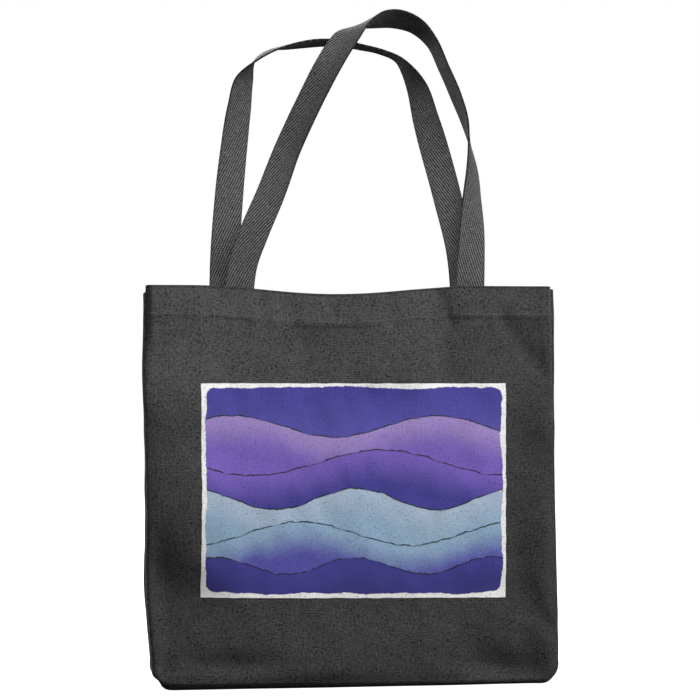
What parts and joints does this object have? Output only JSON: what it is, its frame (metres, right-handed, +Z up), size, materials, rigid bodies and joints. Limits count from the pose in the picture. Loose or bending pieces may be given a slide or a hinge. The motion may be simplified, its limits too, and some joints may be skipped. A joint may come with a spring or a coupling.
{
  "type": "canvas tote bag",
  "caption": "Upright open-topped canvas tote bag with a boxed base, a turned hem, a printed front panel and flat webbing handles.",
  "frame": {"origin": "on the ground under the middle of the bag", "axes": "+Z up, the printed front faces -Y, +X to the right seen from the front"},
  "size_m": [0.3887, 0.0644, 0.6281],
  "materials": {
    "canvas": "charcoal plain-weave cotton canvas, matt, with fine dark slubs",
    "hem_facing": "the same charcoal canvas, turned in and stitched",
    "print_ink": "matt screen-printed ink on canvas: off-white border with bands of indigo, violet, lavender and pale blue",
    "webbing": "charcoal cotton webbing with a fine diagonal twill"
  },
  "bodies": {
    "root": {"front_panel": "canvas", "back_panel": "canvas", "gusset_left": "canvas", "gusset_right": "canvas", "gusset_base": "canvas", "hem_front": "hem_facing", "hem_back": "hem_facing", "hem_left": "hem_facing", "hem_right": "hem_facing", "print_panel": "print_ink", "handle_front": "webbing", "handle_back": "webbing"}
  },
  "joints": []
}
